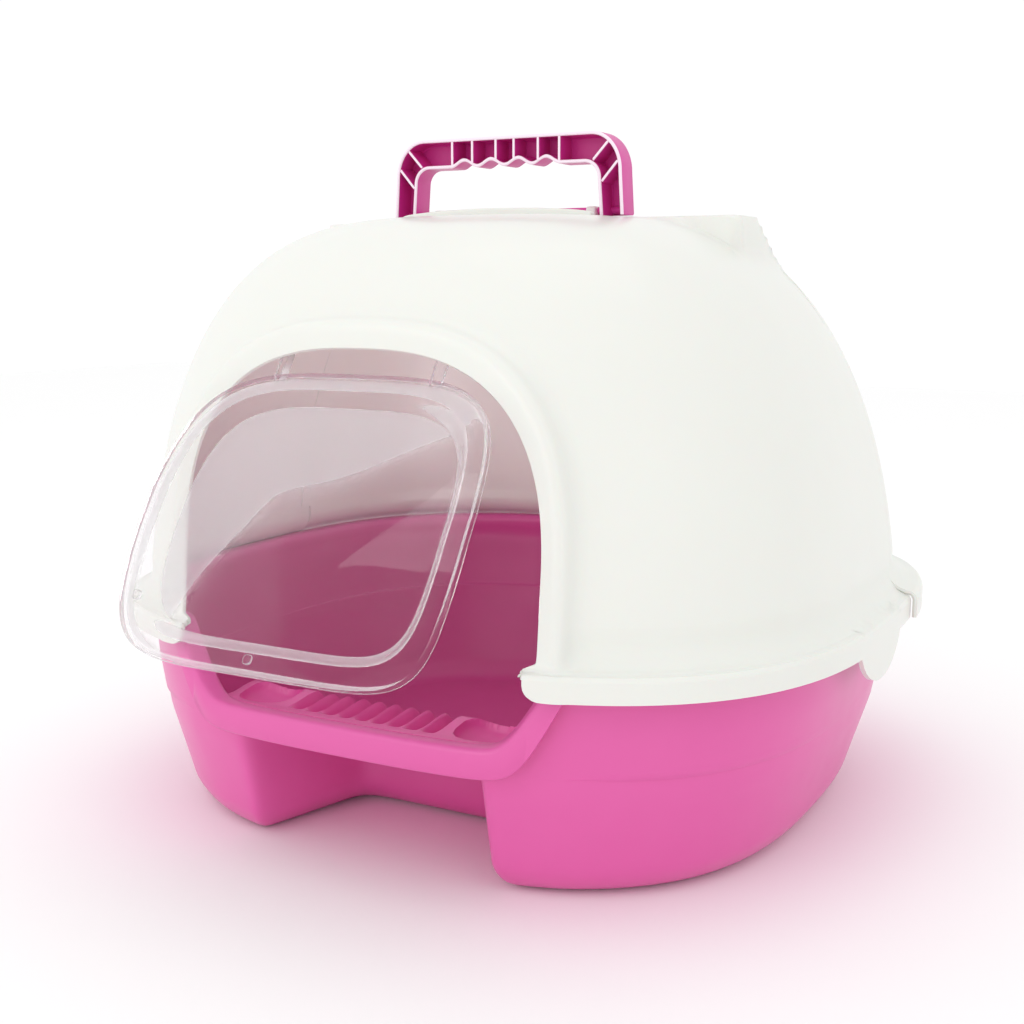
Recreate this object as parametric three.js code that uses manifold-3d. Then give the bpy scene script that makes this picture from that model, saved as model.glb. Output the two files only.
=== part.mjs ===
// Hooded cat litter box: a pink pan with a stepped entry and a grooved step plate, a white hood in
// two shells with cat ears, a clear swing flap and a folding carry handle.
// Millimetres, +Z up, the entry faces -Y. The origin is on the ground under the middle of the width.
import * as THREE from 'three';
import { mergeVertices } from 'three/addons/utils/BufferGeometryUtils.js';
import Module from 'manifold-3d';

const wasm = await Module();
wasm.setup();

// Plan outline shared by the pan and the hood: a superellipse, half-width on X times DEPTH_RATIO on Y.
const CENTRE_Y = 20;
const DEPTH_RATIO = 0.944;
const PLAN_POWER = 2.85;
const PLAN_SEGMENTS = 64;

const WALL = 3;
const GAP = 0.4;

// Hood
const SKIRT_HALF_WIDTH = 266;
const SKIRT_BOTTOM = 131;
const DOME_HALF_WIDTH = 250;
const DOME_BASE = 170;
const CREST = 401;
const DOME_RISE = 240;
const SEAM_Y = 78;
const SEAM_TUCK = 10;
const LAP_CLEARANCE = 1.2;

// Entry arch and the flat portal round it
const ARCH_SPRING = 190;
const ARCH_POWER = 2.65;
const ENTRY_HALF_WIDTH = 127;
const ENTRY_TOP = 320;
const PORTAL_HALF_WIDTH = 140;
const PORTAL_TOP = 336;
const PORTAL_FRONT = -215;
const PORTAL_LEAN = 0.1;

// Ears: the ends of a flat band across the roof
const EAR_TIP = 163;
const EAR_FOOT = 165;
const EAR_FRONT = 0;
const EAR_BACK = 34;
const EAR_TAIL = { y: SEAM_Y, z: 371 };

// Raised rib on the roof in front of the handle
const SADDLE_HALF_WIDTH = 73;
const SADDLE_FRONT = -36;

// Side tabs of the hood
const TAB_HALF_WIDTH = 44;
const TAB_BOTTOM = 109;
const TAB_Y = -2;

// Pan
const PAN_SLIDE = 8;
const PAN_RIM = 147;
const PAN_RIM_HALF_WIDTH = 258;
const STEP_BACK = -108;
const STEP_CEILING = 80;
const SILL_BAND = 19;
const SILL_BOTTOM = 79;
const SILL_FOOT = 76;

// Grooved step plate
const PLATE_HALF_WIDTH = 100;
const PLATE_FRONT = -198;
const PLATE_BACK = -155;
const PLATE_TOP = 96;
const GROOVE_PITCH = 12.05;
const GROOVE_WIDTH = 5.5;
const GROOVE_COUNT = 9;
const FINGER_HOLLOW = { x: 82, y: -177, halfWidth: 14, halfLength: 16, depth: 5 };

// Flap
const FLAP_AXIS = { y: -187, z: 318 };
const FLAP_OPEN = THREE.MathUtils.degToRad(33.4);
const FLAP_TOP = 17;
const FLAP_LENGTH = 204;
const FLAP_HALF_WIDTH = 110;
const FLAP_THICKNESS = 2.4;
const FLAP_BULGE = 11;
const FLAP_RIM = 9;
const FLAP_RIM_HEIGHT = 4;
const PIN_RADIUS = 3;
const PIN_OUTER = 68;
const PIN_LENGTH = 16;
const PIN_PLAY = 0.5;

// Handle
const HANDLE_FRONT = -20;
const HANDLE_DEPTH = 20;
const HANDLE_HALF_WIDTH = 89;
const HANDLE_TOP = 456;
const HANDLE_LEG = 17;
const HANDLE_BAR = 20;
const HANDLE_WALL = 2.4;
const SHAFT = { y: -3.5, z: 405.2, radius: 2.5 };
const FOOT_RADIUS = 3.5;
const CLIP_X = 60;
const RIB_POSITIONS = [7, 25.5, 41.5];
const SCALLOP_COUNT = 4;
const SCALLOP_PITCH = 21;
const SCALLOP_HEIGHT = 4;

const WHITE = new THREE.MeshStandardMaterial({ color: 0xf7f8f1, roughness: 0.32, metalness: 0 });
const PINK = new THREE.MeshStandardMaterial({ color: 0xe566ab, roughness: 0.35, metalness: 0 });
const MAGENTA = new THREE.MeshStandardMaterial({ color: 0xcf3d94, roughness: 0.35, metalness: 0 });
const CLEAR = new THREE.MeshStandardMaterial({
  color: 0xe9eef0, roughness: 0.05, metalness: 0, transparent: true, opacity: 0.35,
});

// A closed geometry as a manifold solid: shared vertices merged, collapsed triangles dropped.
function solid(geometry) {
  const bare = geometry.clone();
  bare.deleteAttribute('normal');
  bare.deleteAttribute('uv');
  const merged = mergeVertices(bare, 1e-4);
  const index = Array.from(merged.index.array);
  const triangles = [];
  for (let i = 0; i < index.length; i += 3) {
    const [a, b, c] = index.slice(i, i + 3);
    if (a !== b && b !== c && c !== a) triangles.push(a, b, c);
  }
  return new wasm.Manifold(new wasm.Mesh({
    numProp: 3,
    vertProperties: new Float32Array(merged.attributes.position.array),
    triVerts: new Uint32Array(triangles),
  }));
}

function named(name, body, material) {
  const { vertProperties, triVerts } = body.getMesh();
  const geometry = new THREE.BufferGeometry();
  geometry.setAttribute('position', new THREE.BufferAttribute(vertProperties, 3));
  geometry.setIndex(new THREE.BufferAttribute(triVerts, 1));
  geometry.computeVertexNormals();
  const mesh = new THREE.Mesh(geometry, material);
  mesh.name = name;
  return mesh;
}

const union = (solids) => solids.reduce((joined, next) => joined.add(next));

function box(x0, x1, y0, y1, z0, z1) {
  const geometry = new THREE.BoxGeometry(x1 - x0, y1 - y0, z1 - z0);
  return solid(geometry.translate((x0 + x1) / 2, (y0 + y1) / 2, (z0 + z1) / 2));
}

// How far the plan reaches in direction phi, for a half-width of 1 on X.
function planReach(phi) {
  const x = Math.abs(Math.cos(phi)) ** PLAN_POWER;
  const y = (Math.abs(Math.sin(phi)) / DEPTH_RATIO) ** PLAN_POWER;
  return (x + y) ** (-1 / PLAN_POWER);
}

// A profile of [half-width, height] pairs turned round Z, with every ring stretched to the plan.
function bowl(profile) {
  const points = profile.map(([halfWidth, z]) => new THREE.Vector2(halfWidth, z));
  const geometry = new THREE.LatheGeometry(points, PLAN_SEGMENTS).rotateX(Math.PI / 2);
  const position = geometry.attributes.position;
  for (let i = 0; i < position.count; i += 1) {
    const x = position.getX(i);
    const y = position.getY(i);
    const reach = planReach(Math.atan2(y, x));
    const slide = PAN_SLIDE * Math.max(1 - position.getZ(i) / SKIRT_BOTTOM, 0);
    position.setXY(i, x * reach, y * reach + CENTRE_Y - slide);
  }
  return solid(geometry);
}

// An outline drawn in X and Z, extruded along Y from y0 to y1.
function upright(shape, y0, y1) {
  const geometry = new THREE.ExtrudeGeometry(shape, {
    depth: y1 - y0, bevelEnabled: false, curveSegments: 10,
  });
  return solid(geometry.rotateX(Math.PI / 2).translate(0, y1, 0));
}

// An outline drawn in X and Y, extruded along Z from z0 to z1.
function slab(shape, z0, z1) {
  const geometry = new THREE.ExtrudeGeometry(shape, {
    depth: z1 - z0, bevelEnabled: false, curveSegments: 10,
  });
  return solid(geometry.translate(0, 0, z0));
}

// Straight jambs below the spring line and a superelliptic head above it.
function archShape(halfWidth, top, bottom, steps = 28) {
  const shape = new THREE.Shape();
  shape.moveTo(halfWidth, bottom);
  for (let i = 0; i <= steps; i += 1) {
    const t = (i / steps) * Math.PI;
    const x = Math.sign(Math.cos(t)) * Math.abs(Math.cos(t)) ** (2 / ARCH_POWER);
    const z = Math.sin(t) ** (2 / ARCH_POWER);
    shape.lineTo(halfWidth * x, ARCH_SPRING + (top - ARCH_SPRING) * z);
  }
  shape.lineTo(-halfWidth, bottom);
  return shape;
}

function leaning(shape, y0, y1) {
  const geometry = new THREE.ExtrudeGeometry(shape, { depth: y1 - y0, bevelEnabled: false });
  geometry.rotateX(Math.PI / 2).translate(0, y1, 0);
  const position = geometry.attributes.position;
  for (let i = 0; i < position.count; i += 1) {
    position.setY(i, position.getY(i) + PORTAL_LEAN * (position.getZ(i) - SKIRT_BOTTOM));
  }
  return solid(geometry);
}

// Hood section from the skirt up to the flat roof, grown outwards by grow (negative is inwards).
// The dome above the flange is drawn in by inset, so that one shell can tuck inside the other.
function hoodProfile(grow, bottom, inset = 0) {
  const points = [
    [0, bottom],
    [SKIRT_HALF_WIDTH + grow, bottom],
    [SKIRT_HALF_WIDTH + grow, 146 + grow * 0.4],
    [SKIRT_HALF_WIDTH - 5 + grow, 152 + grow],
    [DOME_HALF_WIDTH + 2 + grow - inset, 157 + grow],
    [DOME_HALF_WIDTH + grow - inset, 166 + grow * 0.5],
  ];
  const roof = (CREST - DOME_BASE) / DOME_RISE;
  const rings = 12;
  for (let i = 1; i <= rings; i += 1) {
    const rise = roof * Math.sin((i / rings) * Math.PI / 2);
    const width = (1 - 0.06 * rise) * (1 - rise ** 2.2) ** (1 / 3.3);
    points.push([DOME_HALF_WIDTH * width + grow - inset, DOME_BASE + (DOME_RISE + grow - inset) * rise]);
  }
  points.push([0, points[points.length - 1][1]]);
  return points;
}

// The band across the roof: ears at its ends in the front view, a sloping tail in the side view.
function earBand(grow) {
  const shape = new THREE.Shape();
  shape.moveTo(EAR_TIP + grow, CREST + grow);
  shape.lineTo(-EAR_TIP - grow, CREST + grow);
  shape.lineTo(-EAR_FOOT - grow, 362);
  shape.lineTo(-130, 340);
  shape.lineTo(130, 340);
  shape.lineTo(EAR_FOOT + grow, 362);
  const side = new THREE.Shape();
  side.moveTo(EAR_FRONT - grow, 340);
  side.lineTo(EAR_FRONT - grow, CREST + grow);
  side.lineTo(EAR_BACK + grow / 2, CREST + grow);
  side.lineTo(EAR_TAIL.y - 0.5, EAR_TAIL.z + grow);
  side.lineTo(EAR_TAIL.y - 0.5, 340);
  const lengthwise = new THREE.ExtrudeGeometry(side, { depth: 500, bevelEnabled: false });
  lengthwise.rotateX(Math.PI / 2).rotateZ(Math.PI / 2).translate(-250, 0, 0);
  return upright(shape, -60, 150).intersect(solid(lengthwise));
}

// Everything inside the hood's outer surface, grown by grow.
function hoodBody(grow, bottom) {
  const portal = archShape(PORTAL_HALF_WIDTH + grow, PORTAL_TOP + grow, SKIRT_BOTTOM);
  return union([
    bowl(hoodProfile(grow, bottom)),
    leaning(portal, PORTAL_FRONT - grow, -130),
    earBand(grow),
  ]);
}

function sideTab(side) {
  const shape = new THREE.Shape();
  shape.moveTo(-TAB_HALF_WIDTH, SKIRT_BOTTOM + 12);
  shape.lineTo(-TAB_HALF_WIDTH, SKIRT_BOTTOM);
  shape.bezierCurveTo(-TAB_HALF_WIDTH + 3, TAB_BOTTOM + 4, -18, TAB_BOTTOM, 0, TAB_BOTTOM);
  shape.bezierCurveTo(18, TAB_BOTTOM, TAB_HALF_WIDTH - 3, TAB_BOTTOM + 4, TAB_HALF_WIDTH, SKIRT_BOTTOM);
  shape.lineTo(TAB_HALF_WIDTH, SKIRT_BOTTOM + 12);
  const geometry = new THREE.ExtrudeGeometry(shape, { depth: WALL, bevelEnabled: false });
  geometry.rotateX(Math.PI / 2).rotateZ(Math.PI / 2);
  const inner = SKIRT_HALF_WIDTH - WALL;
  return solid(geometry.translate(side > 0 ? inner : -inner - WALL, TAB_Y, 0));
}

// Bearing block for one flap pin, hanging from the head of the portal.
function pinBearing(side) {
  const x0 = side > 0 ? PIN_OUTER - 5 : -PIN_OUTER;
  const block = box(x0, x0 + 5, FLAP_AXIS.y - 6, FLAP_AXIS.y + 7, FLAP_AXIS.z - 7, PORTAL_TOP - 8);
  const bore = new THREE.CylinderGeometry(PIN_RADIUS + PIN_PLAY, PIN_RADIUS + PIN_PLAY, 12, 20);
  bore.rotateZ(Math.PI / 2).translate(x0 + 2.5, FLAP_AXIS.y, FLAP_AXIS.z);
  return block.subtract(solid(bore));
}

// Clip on the roof that holds the handle's shaft.
function shaftClip(side) {
  const x = side * CLIP_X;
  const block = box(x - 4, x + 4, SHAFT.y - 5.5, SHAFT.y + 5.5, CREST - 2, SHAFT.z + 5);
  return block.subtract(shaft(SHAFT.radius + PIN_PLAY, 200));
}

function hoodFront() {
  const before = box(-400, 400, -400, SEAM_Y, 0, 600);
  const saddle = new THREE.Shape();
  saddle.moveTo(-SADDLE_HALF_WIDTH, 392);
  saddle.lineTo(SADDLE_HALF_WIDTH, 392);
  saddle.lineTo(SADDLE_HALF_WIDTH, CREST + 3);
  saddle.quadraticCurveTo(0, CREST + 9, -SADDLE_HALF_WIDTH, CREST + 3);
  return hoodBody(0, SKIRT_BOTTOM)
    .subtract(hoodBody(-WALL, SKIRT_BOTTOM - 1))
    .subtract(upright(archShape(ENTRY_HALF_WIDTH, ENTRY_TOP, 100), -300, -120))
    .intersect(before)
    .add(upright(saddle, SADDLE_FRONT, SADDLE_FRONT + 7))
    .add(sideTab(1))
    .add(sideTab(-1))
    .add(pinBearing(1))
    .add(pinBearing(-1))
    .add(shaftClip(1))
    .add(shaftClip(-1));
}

// The rear shell's dome reaches forward under the front shell; its flange stops at the seam.
function hoodRear() {
  const lap = WALL + LAP_CLEARANCE;
  const behind = box(-400, 400, SEAM_Y + GAP, 500, 0, 600)
    .add(box(-400, 400, SEAM_Y - SEAM_TUCK, SEAM_Y + 1, 168, 600));
  const outer = bowl(hoodProfile(0, SKIRT_BOTTOM, lap));
  const inner = bowl(hoodProfile(-WALL, SKIRT_BOTTOM - 1, lap));
  return outer.subtract(inner).intersect(behind);
}

// The entry sill dips as a U: this is the outline of the U, dropped by drop, open at the top.
function sillShape(drop, top) {
  const shape = new THREE.Shape();
  const bottom = SILL_BOTTOM + SILL_BAND - drop;
  const spread = drop * 0.6;
  shape.moveTo(-132 - spread, top);
  shape.lineTo(-129 - spread, 138);
  shape.bezierCurveTo(-120 - spread, 118, -106 - spread, bottom, -76 - spread, bottom);
  shape.lineTo(76 + spread, bottom);
  shape.bezierCurveTo(106 + spread, bottom, 120 + spread, 118, 129 + spread, 138);
  shape.lineTo(132 + spread, top);
  return shape;
}

function panProfile(grow, bottom, top) {
  return [
    [0, bottom],
    [207 + grow, bottom],
    [214 + grow, bottom + 1.5],
    [219 + grow, bottom + 7],
    [229 + grow, 30],
    [240.5 + grow, 68],
    [247 + grow, 106],
    [249 + grow, 131],
    [251 + grow, top],
    [0, top],
  ];
}

function stepRecess(grow) {
  const shape = new THREE.Shape();
  shape.moveTo(-58 - grow, STEP_BACK + grow);
  shape.lineTo(58 + grow, STEP_BACK + grow);
  shape.lineTo(80 + grow, -157);
  shape.lineTo(100 + grow, -300);
  shape.lineTo(-100 - grow, -300);
  shape.lineTo(-80 - grow, -157);
  return slab(shape, -20, STEP_CEILING + grow);
}

function litterPan() {
  const shell = bowl(panProfile(0, 0, PAN_RIM)).subtract(stepRecess(0))
    .subtract(bowl(panProfile(-WALL, WALL, PAN_RIM + 1)).subtract(stepRecess(WALL)));
  const rimRing = bowl([[0, 131], [PAN_RIM_HALF_WIDTH, 131], [PAN_RIM_HALF_WIDTH, PAN_RIM], [0, PAN_RIM]])
    .subtract(bowl([[0, 120], [PAN_RIM_HALF_WIDTH - WALL, 120], [PAN_RIM_HALF_WIDTH - WALL, PAN_RIM - WALL],
      [0, PAN_RIM - WALL]]))
    .subtract(bowl([[0, 120], [249, 120], [249, 160], [0, 160]]));
  const sillBody = bowl([[0, SILL_FOOT], [PAN_RIM_HALF_WIDTH, SILL_FOOT], [PAN_RIM_HALF_WIDTH, PAN_RIM],
    [0, PAN_RIM]]);
  const inside = PAN_RIM_HALF_WIDTH - WALL;
  const sillInside = bowl([[0, 60], [inside, 60], [inside, 170], [0, 170]]);
  const wallInside = bowl([[0, 60], [242, 60], [242, 170], [0, 170]]);
  const band = sillBody.subtract(sillInside).intersect(upright(sillShape(SILL_BAND, PAN_RIM), -300, -100));
  const shelf = sillBody.subtract(wallInside).intersect(upright(sillShape(WALL, PAN_RIM), -300, -100));
  return union([shell, rimRing, band, shelf])
    .subtract(upright(sillShape(0, 200), -300, -150));
}

// A scooped hollow beside the grooves, for lifting the plate out.
function fingerHollow(side) {
  const scoop = new THREE.SphereGeometry(1, 20, 12);
  scoop.scale(FINGER_HOLLOW.halfWidth, FINGER_HOLLOW.halfLength, FINGER_HOLLOW.depth);
  return solid(scoop.translate(side * FINGER_HOLLOW.x, FINGER_HOLLOW.y, PLATE_TOP));
}

function stepPlate() {
  const outer = box(-PLATE_HALF_WIDTH, PLATE_HALF_WIDTH, PLATE_FRONT, PLATE_BACK,
    STEP_CEILING + WALL + GAP, PLATE_TOP);
  const hollow = box(-PLATE_HALF_WIDTH + WALL, PLATE_HALF_WIDTH - WALL, PLATE_FRONT + WALL,
    PLATE_BACK - WALL, 0, PLATE_TOP - 7);
  const grooves = [];
  for (let i = 0; i < GROOVE_COUNT; i += 1) {
    const x = (i - (GROOVE_COUNT - 1) / 2) * GROOVE_PITCH;
    grooves.push(box(x - GROOVE_WIDTH / 2, x + GROOVE_WIDTH / 2, PLATE_FRONT + 6, PLATE_BACK - 6,
      PLATE_TOP - 4, PLATE_TOP + 1));
  }
  return outer.subtract(hollow).subtract(union([...grooves, fingerHollow(1), fingerHollow(-1)]));
}

// Flap outline in its own frame: X across, Z down from the pivot axis.
function flapShape(inset) {
  const half = FLAP_HALF_WIDTH - inset;
  const top = -FLAP_TOP - inset;
  const bottom = -FLAP_LENGTH + inset;
  const shape = new THREE.Shape();
  shape.moveTo(-54, top);
  shape.lineTo(54, top);
  shape.bezierCurveTo(82, top, half - 6, -44, half - 1, -84);
  shape.bezierCurveTo(half + 1, -112, half - 1, -140, half - 5, -160);
  shape.bezierCurveTo(half - 7, -190, half - 15, bottom, half - 34, bottom);
  shape.lineTo(34 - half, bottom);
  shape.bezierCurveTo(15 - half, bottom, 7 - half, -190, 5 - half, -160);
  shape.bezierCurveTo(1 - half, -140, -1 - half, -112, 1 - half, -84);
  shape.bezierCurveTo(6 - half, -44, -82, top, -54, top);
  return shape;
}

// A sheet that bows forward between the pivot and the lower edge, its front pushed out by front.
function bowedSheet(front, back) {
  const steps = 14;
  const profile = [];
  for (let i = 0; i <= steps; i += 1) {
    const t = i / steps;
    const bow = 4 * t * (1 - t) * FLAP_BULGE;
    profile.push([-(FLAP_TOP - 6) - t * (FLAP_LENGTH - FLAP_TOP + 12), bow]);
  }
  const shape = new THREE.Shape();
  profile.forEach(([z, bow], i) => {
    if (i === 0) shape.moveTo(-bow - front, z);
    else shape.lineTo(-bow - front, z);
  });
  profile.reverse().forEach(([z, bow]) => shape.lineTo(-bow + back, z));
  const geometry = new THREE.ExtrudeGeometry(shape, { depth: 300, bevelEnabled: false });
  return solid(geometry.rotateX(Math.PI / 2).rotateZ(Math.PI / 2).translate(-150, 0, 0));
}

function flapDoor() {
  const outline = upright(flapShape(0), -60, 60);
  const rim = outline.subtract(upright(flapShape(FLAP_RIM), -60, 60));
  const sheet = bowedSheet(FLAP_THICKNESS / 2, FLAP_THICKNESS / 2).intersect(outline);
  const lip = bowedSheet(-FLAP_THICKNESS / 2 + 0.2, FLAP_RIM_HEIGHT).intersect(rim)
    .intersect(upright(flapShape(0), -60, 60).subtract(upright(flapShape(FLAP_THICKNESS), -60, 60)));
  const parts = [sheet, lip];
  for (const side of [-1, 1]) {
    const middle = side * (PIN_OUTER - PIN_LENGTH / 2);
    const pin = new THREE.CylinderGeometry(PIN_RADIUS, PIN_RADIUS, PIN_LENGTH, 20).rotateZ(Math.PI / 2);
    parts.push(solid(pin.translate(middle, 0, 0)));
    const arm = side * (PIN_OUTER - PIN_LENGTH + 3);
    parts.push(box(arm - 3, arm + 3, -2.4, 1.4, -FLAP_TOP - 6, 0));
  }
  return union(parts);
}

// Round-cornered outline of the handle from its feet up, inset from the outer edge.
function handleShape(inset, foot) {
  const half = HANDLE_HALF_WIDTH - inset;
  const top = HANDLE_TOP - inset;
  const corner = Math.max(25 - inset, 3);
  const shape = new THREE.Shape();
  shape.moveTo(-half, foot);
  shape.lineTo(half, foot);
  shape.lineTo(half, top - corner);
  shape.quadraticCurveTo(half, top - corner * 0.25, half - corner * 0.8, top);
  shape.lineTo(-half + corner * 0.8, top);
  shape.quadraticCurveTo(-half, top - corner * 0.25, -half, top - corner);
  return shape;
}

// The opening under the bar, its upper edge waved for four fingers, grown outwards by grow.
function gripOpening(grow, foot) {
  const half = HANDLE_HALF_WIDTH - HANDLE_LEG + grow;
  const top = HANDLE_TOP - HANDLE_BAR + grow;
  const span = SCALLOP_COUNT * SCALLOP_PITCH / 2;
  const steps = SCALLOP_COUNT * 6;
  const shape = new THREE.Shape();
  shape.moveTo(-half, foot);
  shape.lineTo(half, foot);
  shape.lineTo(half, top - 5);
  shape.quadraticCurveTo(half, top, half - 5, top);
  for (let i = 0; i <= steps; i += 1) {
    const x = span - (2 * span * i) / steps;
    shape.lineTo(x, top + SCALLOP_HEIGHT * Math.sin((i / steps) * SCALLOP_COUNT * Math.PI) ** 2);
  }
  shape.lineTo(-half + 5, top);
  shape.quadraticCurveTo(-half, top, -half, top - 5);
  return shape;
}

function handleRibs() {
  const ribs = [];
  const back = HANDLE_FRONT + HANDLE_DEPTH - 1;
  for (const x of RIB_POSITIONS) {
    for (const side of [-1, 1]) {
      ribs.push(box(side * x - 0.9, side * x + 0.9, HANDLE_FRONT + 0.6, back, 430, HANDLE_TOP - 1));
    }
  }
  for (const side of [-1, 1]) {
    for (const [x, z, turn] of [[70, 445, 52], [80, 430, 38]]) {
      const rib = new THREE.BoxGeometry(1.8, HANDLE_DEPTH - 1.6, 60);
      rib.rotateY(THREE.MathUtils.degToRad(side * turn));
      ribs.push(solid(rib.translate(side * x, (HANDLE_FRONT + 0.6 + back) / 2, z)));
    }
  }
  return union(ribs);
}

function shaft(radius, length) {
  const rod = new THREE.CylinderGeometry(radius, radius, length, 24).rotateZ(Math.PI / 2);
  return solid(rod.translate(0, SHAFT.y, SHAFT.z));
}

function carryHandle() {
  const foot = SHAFT.z - FOOT_RADIUS;
  const back = HANDLE_FRONT + HANDLE_DEPTH;
  const frame = upright(handleShape(0, foot), HANDLE_FRONT, back)
    .subtract(upright(gripOpening(0, foot - 1), HANDLE_FRONT - 1, back + 1));
  const channel = upright(handleShape(HANDLE_WALL, foot + HANDLE_WALL), HANDLE_FRONT - 1, back - HANDLE_WALL)
    .subtract(upright(gripOpening(HANDLE_WALL, 0), HANDLE_FRONT - 2, back + 1));
  const heel = box(-100, 100, SHAFT.y, back + 1, foot - 1, SHAFT.z).subtract(shaft(FOOT_RADIUS, 200));
  return frame.subtract(channel)
    .add(handleRibs().intersect(frame))
    .subtract(heel)
    .add(shaft(SHAFT.radius, 2 * HANDLE_HALF_WIDTH - 4));
}

const group = new THREE.Group();
group.name = 'hooded_litter_box';
group.add(named('litter_pan', litterPan(), PINK));
group.add(named('step_plate', stepPlate(), PINK));
group.add(named('hood_front', hoodFront(), WHITE));
group.add(named('hood_rear', hoodRear(), WHITE));

const flap = new THREE.Group();
flap.position.set(0, FLAP_AXIS.y, FLAP_AXIS.z);
flap.rotation.x = -FLAP_OPEN;
flap.add(named('flap_door', flapDoor(), CLEAR));
group.add(flap);

group.add(named('carry_handle', carryHandle(), MAGENTA));

export default group;
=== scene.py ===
import math

import bmesh
import bpy
import numpy as np
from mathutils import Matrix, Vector


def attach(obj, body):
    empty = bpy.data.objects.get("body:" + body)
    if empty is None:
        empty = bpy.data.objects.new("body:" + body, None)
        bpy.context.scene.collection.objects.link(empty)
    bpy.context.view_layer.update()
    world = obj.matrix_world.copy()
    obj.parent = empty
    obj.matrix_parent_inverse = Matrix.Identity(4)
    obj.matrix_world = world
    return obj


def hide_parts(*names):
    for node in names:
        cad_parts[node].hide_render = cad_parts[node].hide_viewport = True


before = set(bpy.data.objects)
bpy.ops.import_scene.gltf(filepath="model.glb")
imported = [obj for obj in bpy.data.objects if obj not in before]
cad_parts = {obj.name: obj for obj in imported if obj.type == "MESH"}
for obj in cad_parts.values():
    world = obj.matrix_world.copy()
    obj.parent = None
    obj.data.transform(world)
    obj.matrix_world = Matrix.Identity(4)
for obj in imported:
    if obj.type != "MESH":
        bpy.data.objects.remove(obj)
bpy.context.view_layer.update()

MM = 0.001
WALL = 3.0

# Plan outline shared by the pan and the hood
CENTRE_Y = 20.0
DEPTH_RATIO = 0.944
PLAN_POWER = 2.85

# Hood: a dome over a flange with a skirt, cut by an arched entry, with a band across the roof as ears
SKIRT_HALF_WIDTH = 266.0
SKIRT_BOTTOM = 131.0
FLANGE_RIDGE = 147.0
DOME_HALF_WIDTH = 250.0
DOME_BASE = 170.0
DOME_RISE = 233.0
DOME_DRAFT = 0.114
DOME_RISE_POWER, DOME_WIDTH_POWER = 2.442, 4.09
DOME_TOP_POWER = 2.54
DOME_FORWARD = 23.5
CREST = 401.0
SEAM_Y = 78.0
REAR_INSET = 4.2
REAR_LAP = 10.0
ARCH_SPRING = 190.0
ARCH_POWER = 2.65
ENTRY_HALF_WIDTH = 127.0
ENTRY_TOP = 320.0
FLANGE_END = 5.0
SURROUND_HALF_WIDTH = 141.0
SURROUND_TOP = 337.0
SURROUND_FRONT, SURROUND_LEAN = -215.0, 0.1
EAR_TIP, EAR_LEAN = 163.0, 0.05
EAR_BACK, EAR_END, EAR_FALL = 34.0, 84.0, 30 / 44
LID_RISE, HANDLE_CLEAR = 0.4, 96.0
CLIP_X, BEARING_X = 60.0, 65.5
TAB_Y, TAB_HALF_WIDTH, TAB_DROP = -2.0, 44.0, 22.0

# Pan: its wall's half-width at each height, the step recess, the sill and the grooved step plate
PAN_RIM = 147.0
PAN_SLIDE = 8.0
WALL_HEIGHTS = [0, 11, 30, 68, 106, 131, 150]
WALL_WIDTHS = [222, 223.5, 229, 240.5, 247, 249, 251]
FOOT_ROUND = 20.0
RECESS_HALF_WIDTH = 58.0
RECESS_MOUTH, RECESS_FLARE = 88.0, 9.0
RECESS_BACK, RECESS_SLOPE = -108.0, 46.0
RECESS_TOP = 80.0
ENTRY_SIDE = 152.0
SILL_LOW, SILL_BAND = 97.5, 18.5
PLATE_HALF_WIDTH, PLATE_BACK, PLATE_FOOT = 107.0, -160.0, 83.6
GROOVE_PITCH, GROOVE_COUNT, GROOVE_DEPTH = 12.05, 9, 11.5
FINGER_X, FINGER_Y, FINGER_DEPTH = 80.0, -184.0, 12.5

# Flap, in its own frame with the pivot axis at 0
FLAP_AXIS = np.array([0.0, -187.0, 318.0])
FLAP_OPEN = math.radians(33.4)
FLAP_HALF = np.array([110.0, 93.5])
FLAP_MIDDLE = -110.5
FLAP_BOW = 44.0
ARM_X = 55.0
PIN_RADIUS = 3.0

# Handle
SHAFT_Y, SHAFT_Z = -3.5, 405.2
SHAFT_RADIUS, FOOT_RADIUS = 2.5, 3.5
HANDLE_TOP = 456.0
HANDLE_HALF_WIDTH, HANDLE_LEG, HANDLE_LEAN = 89.0, 17.0, 1.8
HANDLE_FRONT, HANDLE_BACK, HANDLE_WALL = -20.0, 0.0, 2.2
GRIP_UNDERSIDE, GRIP_WAVE, GRIP_PITCH = 436.0, 4.2, 21.0
# Thin handle edges in front of this plane get a painted highlight colour.
EDGE_PLANE = -0.0187


def smooth_min(a, b, radius):
    """The smaller of a and b, with the corner between them filled over the given radius."""
    h = np.clip(0.5 + 0.5 * (b - a) / radius, 0, 1)
    return b + (a - b) * h - radius * h * (1 - h)


def smooth_max(a, b, radius):
    """The larger of a and b, with the corner between them rounded over the given radius."""
    return -smooth_min(-a, -b, radius)


def ease(t):
    """From 0 to 1 as t goes from 0 to 1, level at both ends."""
    t = np.clip(t, 0, 1)
    return t * t * (3 - 2 * t)


def grid_quads(rows, columns, wrap=False):
    """Four-sided faces of a grid of points, joined round in the column direction if wrap is set."""
    r, c = np.meshgrid(np.arange(rows - 1), np.arange(columns if wrap else columns - 1), indexing="ij")
    n = (c + 1) % columns
    here, above = r * columns, (r + 1) * columns
    return np.stack([here + c, here + n, above + n, above + c], -1).reshape(-1, 4)


def joined(parts):
    """Several (points, faces) pairs as one."""
    points, faces, start = [], [], 0
    for p, f in parts:
        p = np.asarray(p).reshape(-1, 3)
        points.append(p)
        faces += [tuple(int(i) + start for i in face) for face in f]
        start += len(p)
    return np.concatenate(points), faces


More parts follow.
